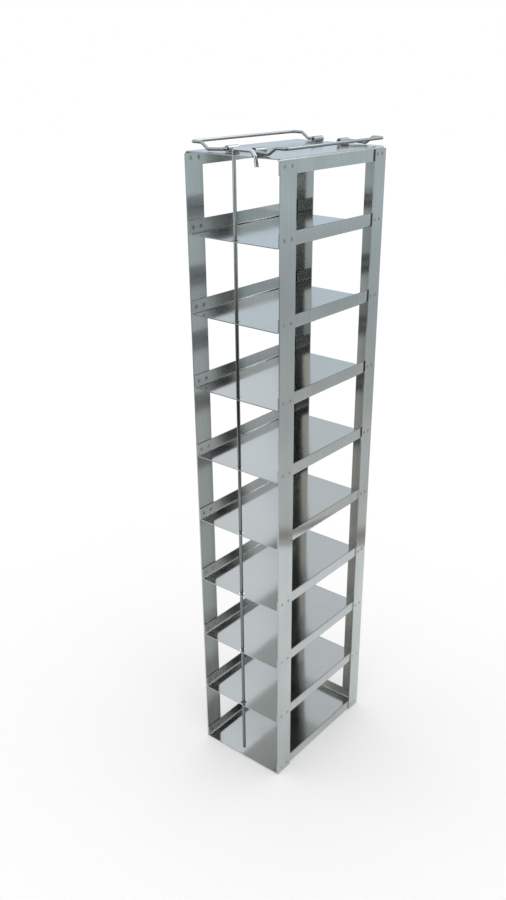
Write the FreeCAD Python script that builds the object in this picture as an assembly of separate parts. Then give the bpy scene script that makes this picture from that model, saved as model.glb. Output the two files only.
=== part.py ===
import FreeCAD, Part
import math
import os

# Vertical freezer rack in folded stainless sheet: nine open compartments between four posts,
# two carrying handles that fold flat outwards on the top plate, and a lift-out locking rod
# that runs down through the shelves just behind their front edges.
# Frame: millimetres, X to the right, Y to the back, Z up. The origin is on the floor at the
# centre of the footprint.

# Rack
RACK_WIDTH = 92.0
RACK_DEPTH = 140.0
COMPARTMENTS = 9
SHELF_PITCH = 63.0
# The top face of the top plate lies this far below the last step of the pitch
TOP_TRIM = 1.0

# Folded sheet of the shelves, the bottom pan and the top plate
SHEET = 0.8
SHEET_INSIDE_BEND = 1.2
FLANGE_HEIGHT = 11.0

# Posts: flat strips at the front, strips bent to an L round the rear corners
POST_SHEET = 1.0
POST_INSIDE_BEND = 1.0
FRONT_POST_WIDTH = 19.0
REAR_POST_SIDE_WIDTH = 17.0
REAR_POST_BACK_WIDTH = 19.5

# The round section of every wire is drawn with this many flats, 0.01 mm off the true circle
WIRE_SIDES = 24

# Handles: each is one bent wire whose two ends turn in tubes welded to the top plate
HANDLE_WIRE = 2.5
HANDLE_BEND = 2.5
HANDLE_SPAN = 126.0
HINGE_OFFSET = 13.0
PIN_CLEARANCE = 0.06
PIN_RECESS = 1.5
KNUCKLE_WALL = 1.1
KNUCKLE_LENGTH = 12.0
KNUCKLE_END_GAP = 0.5
SEAM_WIDTH = 2.6
SEAM_HEIGHT = 0.7
# Outwards from the hinge: the arm rests near the plate, joggles up, then runs level
ARM_REST_GAP = 0.3
JOGGLE_START = 16.0
JOGGLE_LENGTH = 6.5
GRIP_REACH = 32.3
GRIP_RISE = 6.0

# Locking rod and the holes that it passes through
ROD_WIRE = 3.0
ROD_CLEARANCE = 1.3
HOLE_RIM = 1.0
ROD_FOOT_HEIGHT = 7.0
ROD_BEND = 3.0
ROD_TO_ARM_GAP = 1.5
# The hook: up from the plate, across to the right, over the front edge and down
HOOK_HEIGHT = 3.6
HOOK_RISE = 0.6
HOOK_REACH = 21.0
HOOK_SHOULDER = 3.6
HOOK_TAIL_LEAN = 1.2
HOOK_TAIL_DROP = 7.2
TAIL_GAP = 0.05

# Places that follow from the sizes above
FRONT = -RACK_DEPTH / 2
BACK = RACK_DEPTH / 2
POST_OUTSIDE = RACK_WIDTH / 2
TRAY_HALF_WIDTH = POST_OUTSIDE - POST_SHEET
TRAY_BACK = BACK - POST_SHEET
SHEET_BEND = SHEET_INSIDE_BEND + SHEET
POST_BEND = POST_INSIDE_BEND + POST_SHEET
TOP = COMPARTMENTS * SHELF_PITCH - TOP_TRIM
POST_TOP = TOP - SHEET_BEND

WIRE_RADIUS = HANDLE_WIRE / 2
BORE_RADIUS = WIRE_RADIUS + PIN_CLEARANCE
KNUCKLE_RADIUS = BORE_RADIUS + KNUCKLE_WALL
HINGE_Z = TOP + KNUCKLE_RADIUS

ROD_RADIUS = ROD_WIRE / 2
HOLE_RADIUS = ROD_RADIUS + ROD_CLEARANCE
ROD_Y = FRONT + HOLE_RIM + HOLE_RADIUS

ARM_FRONT = ROD_Y + ROD_RADIUS + ROD_TO_ARM_GAP + WIRE_RADIUS
ARM_BACK = ARM_FRONT + HANDLE_SPAN
KNUCKLE_SETBACK = HANDLE_BEND + KNUCKLE_END_GAP


def point(x, y, z):
    return FreeCAD.Vector(x, y, z)


def block(x_range, y_range, z_range):
    """A rectangular block between two corners."""
    size = [high - low for low, high in (x_range, y_range, z_range)]
    return Part.makeBox(*size, point(x_range[0], y_range[0], z_range[0]))


def only_solid(shape):
    """The single solid that an operation has left, with its leftover seams merged."""
    return shape.removeSplitter().Solids[0]


def corner_points(before, corner, after, radius):
    """Start, middle and end of the arc that rounds a corner."""
    back = (before - corner).normalize()
    ahead = (after - corner).normalize()
    half_angle = back.getAngle(ahead) / 2
    reach = radius / math.tan(half_angle)
    inward = (back + ahead).normalize()
    middle = corner + inward * (radius / math.sin(half_angle) - radius)
    return corner + back * reach, middle, corner + ahead * reach


def rounded_path(points, radius):
    """Straight runs through the points, with every inner corner rounded."""
    edges = []
    start = points[0]
    for before, corner, after in zip(points, points[1:], points[2:]):
        arc_start, arc_middle, arc_end = corner_points(before, corner, after, radius)
        edges.append(Part.LineSegment(start, arc_start).toShape())
        edges.append(Part.Arc(arc_start, arc_middle, arc_end).toShape())
        start = arc_end
    edges.append(Part.LineSegment(start, points[-1]).toShape())
    return edges


def folded_sheet(outer_points, inner_points, inside_bend, outside_bend, extrusion):
    """A folded sheet: the section between its outer and inner skins, extruded."""
    outer = rounded_path(outer_points, outside_bend)
    inner = rounded_path(inner_points, inside_bend)
    first_end = Part.LineSegment(outer_points[0], inner_points[0]).toShape()
    last_end = Part.LineSegment(outer_points[-1], inner_points[-1]).toShape()
    section = Part.Wire(outer + [last_end] + inner[::-1] + [first_end])
    return Part.Face(section).extrude(extrusion)


def bent_wire(points, bend, diameter):
    """A round wire along a path of straight runs and bends."""
    path = Part.Wire(rounded_path(points, bend))
    along = points[1] - points[0]
    turn = FreeCAD.Rotation(point(0, 0, 1), along)
    rim = []
    for step in range(WIRE_SIDES + 1):
        angle = 2 * math.pi * step / WIRE_SIDES
        spoke = point(math.cos(angle), math.sin(angle), 0) * (diameter / 2)
        rim.append(points[0] + turn.multVec(spoke))
    return path.makePipeShell([Part.makePolygon(rim)], True, False)


def tray(outer_z, up, with_back_flange):
    """A folded tray. up is 1 for flanges that rise from outer_z and -1 for ones that hang."""
    half = TRAY_HALF_WIDTH
    tip_z = outer_z + up * FLANGE_HEIGHT
    floor_z = outer_z + up * SHEET
    fold_line = TRAY_BACK - SHEET_BEND
    outer = [(-half, tip_z), (-half, outer_z), (half, outer_z), (half, tip_z)]
    inset = half - SHEET
    inner = [(-inset, tip_z), (-inset, floor_z), (inset, floor_z), (inset, tip_z)]
    sides = folded_sheet(
        [point(x, FRONT, z) for x, z in outer],
        [point(x, FRONT, z) for x, z in inner],
        SHEET_INSIDE_BEND,
        SHEET_BEND,
        point(0, fold_line - FRONT, 0),
    )
    # The floor runs on to the rear posts between the folds, so its corners are relieved
    floor_half = half - SHEET_BEND
    if with_back_flange:
        inset_back = TRAY_BACK - SHEET
        outer = [(FRONT, outer_z), (TRAY_BACK, outer_z), (TRAY_BACK, tip_z)]
        inner = [(FRONT, floor_z), (inset_back, floor_z), (inset_back, tip_z)]
        rear = folded_sheet(
            [point(-floor_half, y, z) for y, z in outer],
            [point(-floor_half, y, z) for y, z in inner],
            SHEET_INSIDE_BEND,
            SHEET_BEND,
            point(2 * floor_half, 0, 0),
        )
    else:
        low_z, high_z = sorted((outer_z, floor_z))
        rear = block((-floor_half, floor_half), (FRONT, TRAY_BACK), (low_z, high_z))
    return only_solid(sides.fuse(rear))


def rod_hole(low_z, high_z):
    """The cutter for one hole of the locking rod."""
    return Part.makeCylinder(HOLE_RADIUS, high_z - low_z, point(0, ROD_Y, low_z))


def top_plate():
    """The plate that closes the rack, flanges down on three sides."""
    plate = tray(TOP, -1, True)
    return only_solid(plate.cut(rod_hole(TOP - FLANGE_HEIGHT, TOP + SHEET)))


def shelf(number):
    """A shelf, counted from the top, flanged up on its two sides."""
    underside = (COMPARTMENTS - number) * SHELF_PITCH
    plain = tray(underside, 1, False)
    return only_solid(plain.cut(rod_hole(underside - SHEET, underside + FLANGE_HEIGHT)))


def bottom_pan():
    """The lowest tray. It has a back flange and no rod hole."""
    return tray(0.0, 1, True)


def front_post(side):
    """A flat strip welded to the outside of the flanges. side is -1 for left, 1 for right."""
    inside = TRAY_HALF_WIDTH
    x_range = tuple(sorted((side * inside, side * POST_OUTSIDE)))
    return block(x_range, (FRONT, FRONT + FRONT_POST_WIDTH), (0.0, POST_TOP))


def rear_post(side):
    """A strip bent round a rear corner. side is -1 for left, 1 for right."""
    outside = side * POST_OUTSIDE
    inside = side * TRAY_HALF_WIDTH
    side_edge = BACK - REAR_POST_SIDE_WIDTH
    back_edge = side * (POST_OUTSIDE - REAR_POST_BACK_WIDTH)
    return folded_sheet(
        [point(outside, side_edge, 0), point(outside, BACK, 0), point(back_edge, BACK, 0)],
        [point(inside, side_edge, 0), point(inside, TRAY_BACK, 0), point(back_edge, TRAY_BACK, 0)],
        POST_INSIDE_BEND,
        POST_BEND,
        point(0, 0, POST_TOP),
    )


def knuckle(side, outer_y, towards):
    """A hinge tube along Y with the weld seam that holds it to the plate.

    outer_y is the end beside the handle's arm, towards is 1 or -1 for the way it runs on.
    """
    axis_x = side * HINGE_OFFSET
    start_y = min(outer_y, outer_y + towards * KNUCKLE_LENGTH)
    axis_start = point(axis_x, start_y, HINGE_Z)
    along = point(0, 1, 0)
    tube = Part.makeCylinder(KNUCKLE_RADIUS, KNUCKLE_LENGTH, axis_start, along)
    seam = block(
        (axis_x - SEAM_WIDTH / 2, axis_x + SEAM_WIDTH / 2),
        (start_y, start_y + KNUCKLE_LENGTH),
        (TOP, TOP + SEAM_HEIGHT),
    )
    bore = Part.makeCylinder(BORE_RADIUS, KNUCKLE_LENGTH, axis_start, along)
    return only_solid(tube.fuse(seam).cut(bore))


def handle(side):
    """One bail: pin, arm, joggle, grip, and the same back to the other pin."""
    hinge_x = side * HINGE_OFFSET
    joggle_x = side * (HINGE_OFFSET + JOGGLE_START)
    level_x = side * (HINGE_OFFSET + JOGGLE_START + JOGGLE_LENGTH)
    grip_x = side * (HINGE_OFFSET + GRIP_REACH)
    rest_z = TOP + ARM_REST_GAP + WIRE_RADIUS
    grip_z = TOP + GRIP_RISE
    pin_reach = KNUCKLE_SETBACK + KNUCKLE_LENGTH - PIN_RECESS
    arm_points = [(hinge_x, HINGE_Z), (joggle_x, rest_z), (level_x, grip_z), (grip_x, grip_z)]
    route = [point(hinge_x, ARM_FRONT + pin_reach, HINGE_Z)]
    route += [point(x, ARM_FRONT, z) for x, z in arm_points]
    route += [point(x, ARM_BACK, z) for x, z in arm_points[::-1]]
    route += [point(hinge_x, ARM_BACK - pin_reach, HINGE_Z)]
    return bent_wire(route, HANDLE_BEND, HANDLE_WIRE)


def locking_rod():
    """The straight rod with its hook, whose tail drops in front of the plate's edge."""
    hook_z = TOP + HOOK_HEIGHT
    tail_y = FRONT - TAIL_GAP - ROD_RADIUS
    shoulder_z = hook_z + HOOK_RISE - HOOK_SHOULDER
    route = [
        point(0, ROD_Y, ROD_FOOT_HEIGHT),
        point(0, ROD_Y, hook_z),
        point(HOOK_REACH, tail_y, hook_z + HOOK_RISE),
        point(HOOK_REACH + HOOK_SHOULDER, tail_y, shoulder_z),
        point(HOOK_REACH + HOOK_SHOULDER + HOOK_TAIL_LEAN, tail_y, shoulder_z - HOOK_TAIL_DROP),
    ]
    return bent_wire(route, ROD_BEND, ROD_WIRE)


def sub_parts():
    """Every piece of the rack by name."""
    pieces = {"top_plate": top_plate(), "bottom_pan": bottom_pan()}
    for number in range(1, COMPARTMENTS):
        pieces[f"shelf_{number}"] = shelf(number)
    for name, side in (("left", -1), ("right", 1)):
        pieces[f"front_{name}_post"] = front_post(side)
        pieces[f"rear_{name}_post"] = rear_post(side)
        pieces[f"{name}_front_knuckle"] = knuckle(side, ARM_FRONT + KNUCKLE_SETBACK, 1)
        pieces[f"{name}_rear_knuckle"] = knuckle(side, ARM_BACK - KNUCKLE_SETBACK, -1)
        pieces[f"{name}_handle"] = handle(side)
    pieces["locking_rod"] = locking_rod()
    return pieces


os.makedirs("parts", exist_ok=True)
for name, shape in sub_parts().items():
    shape.exportStep(os.path.join("parts", f"{name}.step"))
    print(f"{name}: volume {shape.Volume:.1f} mm3, valid {shape.isValid()}")
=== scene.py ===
import math

import bpy
from mathutils import Matrix, Vector


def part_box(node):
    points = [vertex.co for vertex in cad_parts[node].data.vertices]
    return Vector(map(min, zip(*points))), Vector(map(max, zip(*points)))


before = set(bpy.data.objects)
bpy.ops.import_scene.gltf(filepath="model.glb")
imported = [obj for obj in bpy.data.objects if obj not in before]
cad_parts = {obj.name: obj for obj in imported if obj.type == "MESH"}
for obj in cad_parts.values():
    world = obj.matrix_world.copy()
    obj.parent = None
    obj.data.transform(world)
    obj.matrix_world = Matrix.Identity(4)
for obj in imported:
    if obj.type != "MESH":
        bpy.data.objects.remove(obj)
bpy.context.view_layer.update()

# Finishes, floor, light and camera for the vertical freezer rack. Metres, +Z up, the rack's
# own frame: X to the right, Y to the back, the origin on the floor under its centre.

MM = 0.001

# Camera, at the photograph's viewing angle
CAMERA_PLACE = (0.4533, -0.5916, 0.6335)
CAMERA_YAW = math.radians(37.394)
CAMERA_PITCH = math.radians(26.581)
CAMERA_ROLL = math.radians(0.501)
CAMERA_NEAR = 10.0 * MM
SENSOR = 36.0
LENS = 35.763
CAMERA_SHIFT_X = -0.0382
CAMERA_SHIFT_Y = 0.0536

# Colours as the photograph shows them, from 0 to 255
SHEET_COLOUR = (198, 199, 196)
CUT_EDGE_AND_SHADE_COLOUR = (112, 108, 102)
STRAW_COLOUR = (150, 128, 92)
BURNT_COLOUR = (84, 76, 70)
WIRE_COLOURS = ((152, 154, 153), (186, 188, 187))
ROD_COLOURS = ((188, 190, 188), (218, 220, 219))

# Marks to a metre: across and along the grain, or along X, Y and Z, and how finely each kind
# is broken up
FINE_MARKS = (1900.0, 16.0)
STREAK_MARKS = (800.0, 6.0)
WIPE_MARKS = (34.0, 34.0, 21.0)
WEAR_MARKS = (95.0, 95.0, 47.0)
DRAW_MARKS = (2600.0, 2600.0, 70.0)
BRUSH_DETAIL = 3.0
DRAW_DETAIL = 2.0
WIPE_DETAIL = 1.0
DETAIL_ROUGHNESS = 0.6

# How much of a noise counts, from its lowest value in use to its highest
MARKS_SPAN = (1.15, 1.85)
WIPE_SPAN = (0.3, 0.7)
WEAR_SPAN = (0.36, 0.56)

# How squarely a face has to look along an axis, from not at all to fully
LOOKS_ALONG = (0.4, 0.8)
LOOKS_FORWARD = (0.6, 0.8)
FRONT_CUT = (0.7, 0.9)
UPPER_CUT = (0.85, 0.95)

# The sheet: its gloss, how worn it is, where its cut edges lie, and how dark the cut front edges
# and the painted crevice shade along the flanges' top edges are
SHEET_ROUGHNESS = (0.105, 0.135)
ANISOTROPY = 0.8
WORN_SHARE = 0.85
UPRIGHT_SHARES = (0.0, 1.0)
LEVEL_SHARES = (0.4, 0.7)
FRONT_EDGE_PLACE = (2.0 * MM, 1.0 * MM)
FLANGE_EDGE_PLACE = (0.9 * MM, 0.7 * MM)
BELOW_PLATE = (1.0 * MM, 2.0 * MM)
FRONT_EDGE_DARK = 0.1
# Painted shade: how far the flanges' top edges are darkened, as a crevice line against the posts
FLANGE_CREVICE_SHADE = 0.45
EDGE_DULL = 0.25
BUMP_STRENGTH = 0.015
BUMP_HEIGHT = 0.03 * MM

# Spot welds, measured like the ones that join the real sheets
WELD_RADIUS = 1.5 * MM
FRONT_WELD_ROWS = (5.0 * MM, 14.0 * MM)
REAR_WELD_ROWS = (7.2 * MM, 13.8 * MM)
RING_RADII = (1.5 * WELD_RADIUS, 0.9 * WELD_RADIUS)
PIT_RADII = (0.9 * WELD_RADIUS, 0.6 * WELD_RADIUS)
WEAKEST_WELD = 0.55
WELD_DARK = 0.42
RING_DARK = 0.6 * WELD_DARK
RING_DULL = 0.2
PIT_DEPTH = 10.0

# Wires: their gloss, the heights between which painted shade darkens the rod towards its foot, and
# the slopes between which painted shade darkens an underside
WIRE_ROUGHNESS = (0.03, 0.06)
FOOT_SHADE_HEIGHTS = (0.36, 0.55)
UNDERSIDE_SHADE_SLOPES = (-0.35, 0.05)
UNDERSIDE_SHADE_SHARE = 0.35
ROD_FOOT_SHADE_SHARE = 0.38

# How sharp an edge still shades as a bend
SMOOTH_ANGLE = math.radians(30)
MERGE_DISTANCE = 1e-6

# The white floor: its paper, how metal mirrors it, and the light that makes it white
FLOOR_HALF = 6.0
FLOOR_LEVEL = -0.2 * MM
PAPER = (0.91, 0.91, 0.905, 1.0)
MIRRORED_PAPER = (0.845, 0.895, 0.93, 1.0)
PAPER_LIGHT = 0.11
PAPER_ROUGHNESS = 0.9
WHITE = (1.0, 1.0, 1.0, 1.0)
BLACK = (0.0, 0.0, 0.0, 1.0)
MIRRORED_DAYLIGHT = (0.94, 1.0, 1.06, 1.0)

# The room that the bright metal mirrors. The white table ends on each side of the rack, and
# the room's floor lies beyond it. Directions are degrees from the back towards the right. Each
# list of tones holds distances out along a direction, with the colour there.
BACK_RIGHT = 37.9
FRONT_LEFT = 218.0
FRONT_RIGHT = 142.0
FRONT_WALL_ANGLE = 126.0
WINDOW_ANGLE = 19.0
HIGH_WINDOW_ANGLE = 8.0
BACK_LEFT = -38.0
CORNER_ANGLE = -27.0
TABLE_BACK = 0.421
TABLE_SIDE = 0.90
TABLE_FRONT = 0.60
TABLE_LEFT = 0.38
ROOM_DEPTH = 4.0
FLOOR_SPREAD = 2.2
CARD_LEVEL = 1.0 * MM
BACK_TONES = (
    (0.421, (0.50, 0.50, 0.48)),
    (0.440, (0.48, 0.48, 0.46)),
    (0.446, (0.30, 0.31, 0.30)),
    (0.466, (0.34, 0.35, 0.35)),
    (0.476, (0.67, 0.71, 0.71)),
    (0.70, (0.65, 0.69, 0.71)),
    (1.00, (0.56, 0.61, 0.62)),
    (1.75, (0.52, 0.57, 0.60)),
    (3.60, (0.61, 0.71, 0.76)),
)
SIDE_TONES = (
    (0.90, (0.28, 0.285, 0.28)),
    (1.80, (0.26, 0.28, 0.28)),
    (2.20, (0.42, 0.47, 0.49)),
    (3.80, (0.54, 0.63, 0.67)),
)
FRONT_TONES = (
    (0.60, (0.12, 0.12, 0.12)),
    (0.90, (0.07, 0.07, 0.07)),
    (1.30, (0.07, 0.07, 0.07)),
    (1.80, (0.20, 0.22, 0.22)),
    (3.20, (0.17, 0.19, 0.19)),
)
FRONT_WALL_TONES = ((1.30, (0.14, 0.162, 0.175)),)
WINDOW_TONES = ((3.00, (0.94, 0.98, 1.0)),)
PALE_TONES = ((2.00, (0.66, 0.765, 0.86)),)
PALE_FLOOR_TONES = (
    (0.60, (0.80, 0.83, 0.84)),
    (0.66, (0.30, 0.31, 0.31)),
    (1.50, (0.38, 0.41, 0.42)),
    (3.60, (0.50, 0.56, 0.60)),
)
CORNER_TONES = ((2.20, (0.79, 0.845, 0.90)),)
HIGH_CORNER_TONES = ((2.20, (0.66, 0.70, 0.73)),)
LEFT_WALL_TONES = ((2.00, (0.82, 0.81, 0.78)),)
PLAIN = 1.0
BRIGHT = 3.2

# What the cards show: the direction, the tones along it and their strength
CARD_FINISHES = {
    "room_back": (BACK_RIGHT, BACK_TONES, PLAIN),
    "room_side": (FRONT_LEFT, SIDE_TONES, PLAIN),
    "room_front": (FRONT_RIGHT, FRONT_TONES, PLAIN),
    "room_front_wall": (FRONT_WALL_ANGLE, FRONT_WALL_TONES, PLAIN),
    "room_window": (WINDOW_ANGLE, WINDOW_TONES, BRIGHT),
    "room_pale": (BACK_LEFT, PALE_TONES, PLAIN),
    "room_pale_floor": (BACK_LEFT, PALE_FLOOR_TONES, PLAIN),
    "room_corner": (CORNER_ANGLE, CORNER_TONES, PLAIN),
    "room_high_corner": (CORNER_ANGLE, HIGH_CORNER_TONES, PLAIN),
    "room_left_wall": (FRONT_LEFT, LEFT_WALL_TONES, PLAIN),
}

# The cards: name, finish, direction, distance, half the width, and foot and head of an
# upright one. The others lie level.
CARDS = (
    ("back_floor_card", "room_back", BACK_RIGHT, TABLE_BACK, 1.2),
    ("back_wall_card", "room_back", BACK_RIGHT, ROOM_DEPTH, 2.7, 0.0, 1.5),
    ("side_floor_card", "room_side", FRONT_LEFT, TABLE_SIDE, 0.8),
    ("side_wall_card", "room_side", FRONT_LEFT, ROOM_DEPTH, 2.0, 0.0, 0.30),
    ("front_floor_card", "room_front", FRONT_RIGHT, TABLE_FRONT, 0.8),
    ("front_wall_card", "room_front_wall", FRONT_WALL_ANGLE, 1.3, 0.81, 0.36, 1.4),
    ("window_card", "room_window", WINDOW_ANGLE, 3.0, 0.60, 2.5, 3.7),
    ("high_window_card", "room_window", HIGH_WINDOW_ANGLE, 3.0, 1.25, 3.2, 4.9),
    ("pale_wall_card", "room_pale", BACK_LEFT, 2.0, 1.6, 0.0, 1.06),
    ("pale_floor_card", "room_pale_floor", BACK_LEFT, TABLE_LEFT, 0.8),
    ("corner_wall_card", "room_corner", CORNER_ANGLE, 2.2, 0.45, 1.10, 1.90),
    ("high_corner_card", "room_high_corner", CORNER_ANGLE, 2.2, 0.54, 1.90, 2.6),
    ("left_wall_card", "room_left_wall", FRONT_LEFT, 2.0, 0.8, 1.0, 2.2),
)


def low(node):
    """The lowest corner of a piece's box."""
    return Vector(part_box(node)[0])


def high(node):
    """The highest corner of a piece's box."""
    return Vector(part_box(node)[1])


# Places that the finishes line up with, read from the frame
FRONT = low("front_right_post").y
BACK = high("rear_right_post").y
TOP = high("top_plate").z
FLANGE = high("bottom_pan").z
PITCH = low("shelf_1").z - low("shelf_2").z
SHEET_OUTSIDE = high("bottom_pan").x


def connect(tree, value, socket):
    """Plugs a socket in, or writes a plain value."""
    if isinstance(value, bpy.types.NodeSocket):
        tree.links.new(value, socket)
    else:
        socket.default_value = value


def node(tree, kind, inputs=(), **settings):
    """A new node with its settings and inputs."""
    made = tree.nodes.new(kind)
    for name, value in settings.items():
        setattr(made, name, value)
    for name, value in dict(inputs).items():
        connect(tree, value, made.inputs[name])
    return made


def calc(tree, operation, *values):
    """One step of arithmetic."""
    inputs = dict(enumerate(values))
    return node(tree, "ShaderNodeMath", inputs, operation=operation).outputs[0]


def ramp(tree, value, start, end):
    """A smooth step from 0 at start to 1 at end."""
    inputs = {"Value": value, "From Min": start, "From Max": end}
    return node(tree, "ShaderNodeMapRange", inputs, interpolation_type="SMOOTHSTEP").outputs[0]


def scaled(tree, value, start, end, first, last):
    """A value carried from one range to another, and kept inside it."""
    inputs = {"Value": value, "From Min": start, "From Max": end, "To Min": first, "To Max": last}
    return node(tree, "ShaderNodeMapRange", inputs).outputs[0]


def mix_values(tree, amount, first, second):
    """A value between two others."""
    inputs = {0: amount, 2: first, 3: second}
    return node(tree, "ShaderNodeMix", inputs, data_type="FLOAT").outputs[0]


def blend(tree, amount, first, second):
    """A colour between two others."""
    inputs = {0: amount, 6: first, 7: second}
    return node(tree, "ShaderNodeMix", inputs, data_type="RGBA").outputs[2]


def colour(red, green, blue):
    """A colour as the photograph shows it, from 0 to 255, for a shader."""
    linear = []
    for value in (red, green, blue):
        share = value / 255
        linear.append(share / 12.92 if share <= 0.04045 else ((share + 0.055) / 1.055) ** 2.4)
    return (*linear, 1.0)


def new_material(name):
    """A new node material with its shader."""
    material = bpy.data.materials.new(name)
    material.use_nodes = True
    tree = material.node_tree
    return material, tree, tree.nodes["Principled BSDF"]


def coordinates(tree):
    """The coordinate on a piece, and its X, Y and Z."""
    coordinate = node(tree, "ShaderNodeTexCoord").outputs["Object"]
    return coordinate, node(tree, "ShaderNodeSeparateXYZ", {0: coordinate}).outputs


def slopes(tree):
    """How far the surface faces along X, Y and Z, from -1 to 1."""
    normal = node(tree, "ShaderNodeTexCoord").outputs["Normal"]
    return node(tree, "ShaderNodeSeparateXYZ", {0: normal}).outputs


def facings(tree):
    """How squarely the surface faces along X, Y and Z, either way."""
    return [calc(tree, "ABSOLUTE", slope) for slope in slopes(tree)]


def grain(tree, coordinate, scale, detail):
    """Noise stretched by a scale for each axis, as brushing leaves it."""
    stretched = node(tree, "ShaderNodeMapping", {"Vector": coordinate, "Scale": scale})
    inputs = {"Vector": stretched.outputs[0], "Scale": 1.0, "Detail": detail,
              "Roughness": DETAIL_ROUGHNESS}
    return node(tree, "ShaderNodeTexNoise", inputs).outputs[0]


def sheet_grain(tree, coordinate, level, marks):
    """Grain that runs up on upright faces and to the sides on level ones."""
    across, along = marks
    upright_grain = grain(tree, coordinate, (across, across, along), BRUSH_DETAIL)
    level_grain = grain(tree, coordinate, (along, across, across), BRUSH_DETAIL)
    return mix_values(tree, level, upright_grain, level_grain)


def nearest(tree, value, rows):
    """Distance to the nearest of some rows."""
    best = None
    for row in rows:
        other = calc(tree, "ABSOLUTE", calc(tree, "SUBTRACT", value, row))
        best = other if best is None else calc(tree, "MINIMUM", best, other)
    return best


def weld_distance(tree, y, z):
    """Distance to the nearest spot weld on a face that looks to the side."""
    rows = [FRONT + row for row in FRONT_WELD_ROWS] + [BACK - row for row in REAR_WELD_ROWS]
    across = nearest(tree, y, rows)
    level = calc(tree, "PINGPONG", calc(tree, "SUBTRACT", z, FLANGE / 2), PITCH / 2)
    top_level = nearest(tree, z, [TOP - FLANGE / 2])
    upright = calc(tree, "MINIMUM", level, top_level)
    squares = calc(tree, "ADD", calc(tree, "POWER", across, 2.0), calc(tree, "POWER", upright, 2.0))
    return calc(tree, "SQRT", squares)


def edge_and_crevice_masks(tree, x, y, z, facing_y, facing_z):
    """The cut front edges, and the upper edges of the trays' flanges, where painted shade draws a
    dark crevice line.
    """
    at_front = ramp(tree, y, *(FRONT + place for place in FRONT_EDGE_PLACE))
    front_edge = calc(tree, "MULTIPLY", ramp(tree, facing_y, *FRONT_CUT), at_front)
    sideways = calc(tree, "ABSOLUTE", x)
    at_side = ramp(tree, sideways, *(SHEET_OUTSIDE - place for place in FLANGE_EDGE_PLACE))
    below_plate = ramp(tree, z, *(TOP - place for place in BELOW_PLATE))
    upper_edge = calc(tree, "MULTIPLY", ramp(tree, facing_z, *UPPER_CUT), at_side)
    return front_edge, calc(tree, "MULTIPLY", upper_edge, below_plate)


def sheet_material():
    """Brushed stainless sheet with heat-tinted spot welds."""
    material, tree, shader = new_material("brushed_sheet")
    coordinate, (x, y, z) = coordinates(tree)
    facing_x, facing_y, facing_z = facings(tree)
    level = ramp(tree, facing_z, *LOOKS_ALONG)
    side = ramp(tree, facing_x, *LOOKS_ALONG)
    tint = colour(*SHEET_COLOUR)

    brushed = sheet_grain(tree, coordinate, level, FINE_MARKS)
    streaks = sheet_grain(tree, coordinate, level, STREAK_MARKS)
    wiped = grain(tree, coordinate, WIPE_MARKS, WIPE_DETAIL)
    marks = calc(tree, "ADD", brushed, calc(tree, "ADD", streaks, wiped))
    worn_tint = (*(value * WORN_SHARE for value in tint[:3]), 1.0)
    upright_metal = scaled(tree, marks, *MARKS_SPAN, *UPRIGHT_SHARES)
    level_metal = scaled(tree, marks, *MARKS_SPAN, *LEVEL_SHARES)
    metal = blend(tree, mix_values(tree, level, upright_metal, level_metal), worn_tint, tint)

    front_edge, flange_edge_and_crevice = edge_and_crevice_masks(tree, x, y, z, facing_y, facing_z)
    sheared = calc(tree, "MAXIMUM", front_edge, flange_edge_and_crevice)
    front_dark = calc(tree, "MULTIPLY", front_edge, FRONT_EDGE_DARK)
    flange_crevice_shade = calc(tree, "MULTIPLY", flange_edge_and_crevice, FLANGE_CREVICE_SHADE)
    edge_tone_and_shade = calc(tree, "MAXIMUM", front_dark, flange_crevice_shade)
    # Front edges take the cut edges' own darker tone; along the flanges' top edges the same colour
    # is painted shade, a dark crevice line
    edged_and_shaded = blend(tree, edge_tone_and_shade, metal, colour(*CUT_EDGE_AND_SHADE_COLOUR))

    weld = weld_distance(tree, y, z)
    uneven = grain(tree, coordinate, WEAR_MARKS, WIPE_DETAIL)
    heat = calc(tree, "MULTIPLY", side, scaled(tree, uneven, *WEAR_SPAN, WEAKEST_WELD, 1.0))
    ring = calc(tree, "MULTIPLY", ramp(tree, weld, *RING_RADII), heat)
    pit = calc(tree, "MULTIPLY", ramp(tree, weld, *PIT_RADII), heat)
    straw = calc(tree, "MULTIPLY", ring, RING_DARK)
    ringed = blend(tree, straw, edged_and_shaded, colour(*STRAW_COLOUR))
    burnt = calc(tree, "MULTIPLY", pit, WELD_DARK)
    tinted = blend(tree, burnt, ringed, colour(*BURNT_COLOUR))

    connect(tree, tinted, shader.inputs["Base Color"])
    shader.inputs["Metallic"].default_value = 1.0
    shader.inputs["Anisotropic"].default_value = ANISOTROPY
    ring_dull = calc(tree, "MULTIPLY", ring, RING_DULL)
    marked = calc(tree, "ADD", ring_dull, calc(tree, "MULTIPLY", sheared, EDGE_DULL))
    worn = scaled(tree, wiped, *WIPE_SPAN, *SHEET_ROUGHNESS)
    connect(tree, calc(tree, "ADD", worn, marked), shader.inputs["Roughness"])
    turned = ramp(tree, facing_y, *LOOKS_FORWARD)
    unturned = calc(tree, "SUBTRACT", 1.0, turned)
    across = node(tree, "ShaderNodeCombineXYZ", {0: turned, 1: unturned})
    connect(tree, across.outputs[0], shader.inputs["Tangent"])
    height = calc(tree, "SUBTRACT", brushed, calc(tree, "MULTIPLY", pit, PIT_DEPTH))
    inputs = {"Height": height, "Strength": BUMP_STRENGTH, "Distance": BUMP_HEIGHT}
    bump = node(tree, "ShaderNodeBump", inputs)
    connect(tree, bump.outputs[0], shader.inputs["Normal"])
    return material


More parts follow.
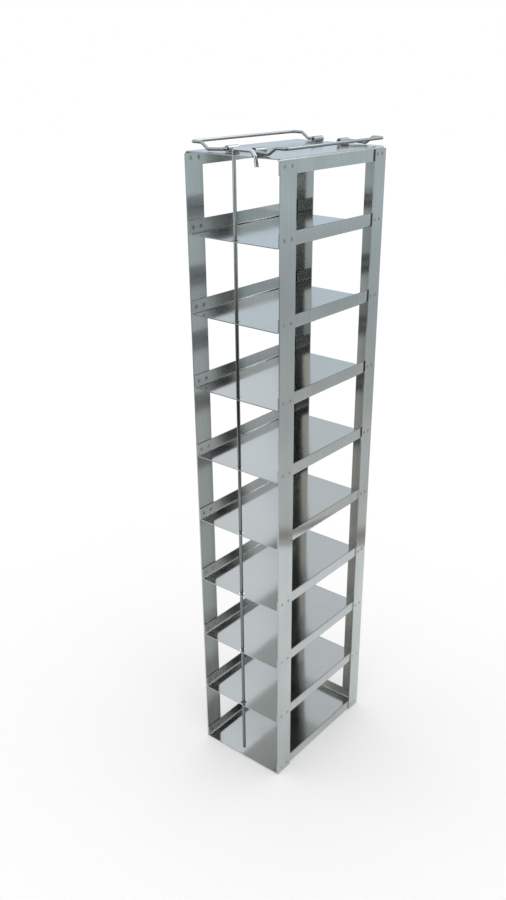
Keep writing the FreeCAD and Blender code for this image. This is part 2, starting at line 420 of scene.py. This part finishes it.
def wire_material(name, colours, foot_shade_share=1.0):
    """Bright drawn wire, its colour darkened as painted shade on its undersides and, by a share,
    towards its foot.
    """
    material, tree, shader = new_material(name)
    coordinate, (_, _, z) = coordinates(tree)
    dark, light = colours
    marks = grain(tree, coordinate, DRAW_MARKS, DRAW_DETAIL)
    tone = blend(tree, ramp(tree, marks, *WIPE_SPAN), colour(*dark), colour(*light))
    # Painted shade: the colour darkens towards the rod's foot and on downward-facing sides
    foot_shade = scaled(tree, z, *FOOT_SHADE_HEIGHTS, foot_shade_share, 1.0)
    underside_shade = scaled(tree, slopes(tree)[2], *UNDERSIDE_SHADE_SLOPES, UNDERSIDE_SHADE_SHARE, 1.0)
    painted_shade = calc(tree, "MULTIPLY", foot_shade, underside_shade)
    shaded_tone = node(tree, "ShaderNodeVectorMath", {0: tone, "Scale": painted_shade}, operation="SCALE")
    connect(tree, shaded_tone.outputs[0], shader.inputs["Base Color"])
    shader.inputs["Metallic"].default_value = 1.0
    connect(tree, scaled(tree, marks, *WIPE_SPAN, *WIRE_ROUGHNESS), shader.inputs["Roughness"])
    return material


def seen_light(tree):
    """1 for what the camera sees straight, mirrored or through something, and else 0."""
    path = node(tree, "ShaderNodeLightPath")
    either = calc(tree, "MAXIMUM", path.outputs["Is Camera Ray"], path.outputs["Is Glossy Ray"])
    return calc(tree, "MAXIMUM", either, path.outputs["Is Transmission Ray"])


def mirrored_blend(tree, straight, mirrored):
    """One colour for the eye, and another one where metal mirrors it."""
    glossy = node(tree, "ShaderNodeLightPath").outputs["Is Glossy Ray"]
    return blend(tree, glossy, straight, mirrored)


def floor_material():
    """Plain white paper, a little cool in the metal, and as white as the world unshaded."""
    material, tree, shader = new_material("white_floor")
    connect(tree, mirrored_blend(tree, PAPER, MIRRORED_PAPER), shader.inputs["Base Color"])
    shader.inputs["Roughness"].default_value = PAPER_ROUGHNESS
    shader.inputs["Specular IOR Level"].default_value = 0.0
    shader.inputs["Emission Color"].default_value = WHITE
    light = calc(tree, "MULTIPLY", seen_light(tree), PAPER_LIGHT)
    connect(tree, light, shader.inputs["Emission Strength"])
    return material


def card_material(name, angle, tones, strength):
    """A card whose tone changes with the distance out along a direction."""
    material, tree, shader = new_material(name)
    shader.inputs["Base Color"].default_value = BLACK
    shader.inputs["Specular IOR Level"].default_value = 0.0
    shader.inputs["Emission Strength"].default_value = strength
    x, y, _ = coordinates(tree)[1]
    turn = math.radians(angle)
    to_right = calc(tree, "MULTIPLY", x, math.sin(turn))
    out = calc(tree, "ADD", to_right, calc(tree, "MULTIPLY", y, math.cos(turn)))
    band = node(tree, "ShaderNodeValToRGB", {0: calc(tree, "DIVIDE", out, ROOM_DEPTH)})
    stops = band.color_ramp.elements
    stops.remove(stops[1])
    for place, (distance, tone) in enumerate(tones):
        stop = stops[0] if place == 0 else stops.new(distance / ROOM_DEPTH)
        stop.position = distance / ROOM_DEPTH
        stop.color = (*tone, 1.0)
    connect(tree, band.outputs[0], shader.inputs["Emission Color"])
    return material


def smooth_group():
    """A modifier's nodes that shade bends and wires smoothly and keep real edges sharp."""
    group = bpy.data.node_groups.new("smooth_bends", "GeometryNodeTree")
    group.interface.new_socket("Geometry", in_out="INPUT", socket_type="NodeSocketGeometry")
    group.interface.new_socket("Geometry", in_out="OUTPUT", socket_type="NodeSocketGeometry")
    start = group.nodes.new("NodeGroupInput")
    end = group.nodes.new("NodeGroupOutput")
    merge_inputs = {"Geometry": start.outputs[0], "Distance": MERGE_DISTANCE}
    merged = node(group, "GeometryNodeMergeByDistance", merge_inputs)
    smooth_inputs = {0: merged.outputs[0], 2: True}
    smooth = node(group, "GeometryNodeSetShadeSmooth", smooth_inputs, domain="FACE")
    angle = node(group, "GeometryNodeInputMeshEdgeAngle")
    sharp_inputs = {0: angle.outputs[0], 1: SMOOTH_ANGLE}
    sharp = node(group, "FunctionNodeCompare", sharp_inputs, data_type="FLOAT",
                 operation="GREATER_THAN")
    edge_inputs = {0: smooth.outputs[0], 1: sharp.outputs[0], 2: False}
    edges = node(group, "GeometryNodeSetShadeSmooth", edge_inputs, domain="EDGE")
    connect(group, edges.outputs[0], end.inputs[0])
    return group


def dress():
    """Every piece gets its finish."""
    sheet = sheet_material()
    wire = wire_material("drawn_wire", WIRE_COLOURS)
    rod = wire_material("rod_wire", ROD_COLOURS, ROD_FOOT_SHADE_SHARE)
    smooth = smooth_group()
    for name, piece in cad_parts.items():
        finish = sheet
        if name.endswith(("knuckle", "handle")):
            finish = wire
        elif name == "locking_rod":
            finish = rod
        piece.data.materials.clear()
        piece.data.materials.append(finish)
        piece.modifiers.new("smooth_bends", "NODES").node_group = smooth


def plane(name, corners, material):
    """A flat piece of the stage."""
    mesh = bpy.data.meshes.new(name)
    mesh.from_pydata(corners, [], [tuple(range(len(corners)))])
    made = bpy.data.objects.new(name, mesh)
    bpy.context.scene.collection.objects.link(made)
    mesh.materials.append(material)
    return made


def spot_at(angle, distance, sideways, height):
    """A place out along a direction, to its right and up."""
    turn = math.radians(angle)
    out = Vector((math.sin(turn), math.cos(turn), 0.0))
    right = Vector((out.y, -out.x, 0.0))
    return out * distance + right * sideways + Vector((0.0, 0.0, height))


def card(name, corners, material):
    """A card out of sight, that only bright metal shows."""
    made = plane(name, corners, material)
    made.visible_camera = False
    made.visible_diffuse = False
    made.visible_transmission = False
    made.visible_volume_scatter = False
    made.visible_shadow = False


def level_corners(angle, start, width):
    """The room's floor beyond a table edge."""
    far = width * FLOOR_SPREAD
    ends = ((start, -width), (start, width), (ROOM_DEPTH, far), (ROOM_DEPTH, -far))
    return [spot_at(angle, distance, sideways, CARD_LEVEL) for distance, sideways in ends]


def upright_corners(angle, distance, width, foot, head):
    """A wall across a direction."""
    ends = ((-width, foot), (width, foot), (width, head), (-width, head))
    return [spot_at(angle, distance, sideways, height) for sideways, height in ends]


def stage():
    """The floor, and the cards that the metal mirrors."""
    sides = ((-1, -1), (1, -1), (1, 1), (-1, 1))
    corners = [(x * FLOOR_HALF, y * FLOOR_HALF, FLOOR_LEVEL) for x, y in sides]
    plane("floor", corners, floor_material())
    finishes = {name: card_material(name, *shown) for name, shown in CARD_FINISHES.items()}
    for name, finish, *place in CARDS:
        lies_level = len(place) == 3
        corners = level_corners(*place) if lies_level else upright_corners(*place)
        card(name, corners, finishes[finish])


def world_light():
    """An even white studio, mirrored a little cool, as daylight is."""
    world = bpy.data.worlds.new("studio")
    bpy.context.scene.world = world
    world.use_nodes = True
    tree = world.node_tree
    backdrop = tree.nodes["Background"]
    connect(tree, mirrored_blend(tree, WHITE, MIRRORED_DAYLIGHT), backdrop.inputs["Color"])
    backdrop.inputs["Strength"].default_value = 1.0


def camera():
    """The camera of the photograph."""
    made = bpy.data.objects.new("camera", bpy.data.cameras.new("camera"))
    bpy.context.scene.collection.objects.link(made)
    ahead = Vector((
        -math.sin(CAMERA_YAW) * math.cos(CAMERA_PITCH),
        math.cos(CAMERA_YAW) * math.cos(CAMERA_PITCH),
        -math.sin(CAMERA_PITCH),
    ))
    turned = ahead.to_track_quat("-Z", "Y").to_matrix() @ Matrix.Rotation(CAMERA_ROLL, 3, "Z")
    made.matrix_world = Matrix.Translation(CAMERA_PLACE) @ turned.to_4x4()
    made.data.sensor_width = SENSOR
    made.data.lens = LENS
    made.data.shift_x = CAMERA_SHIFT_X
    made.data.shift_y = CAMERA_SHIFT_Y
    made.data.clip_start = CAMERA_NEAR
    bpy.context.scene.camera = made


dress()
stage()
world_light()
camera()
bpy.context.scene.view_settings.view_transform = "Standard"
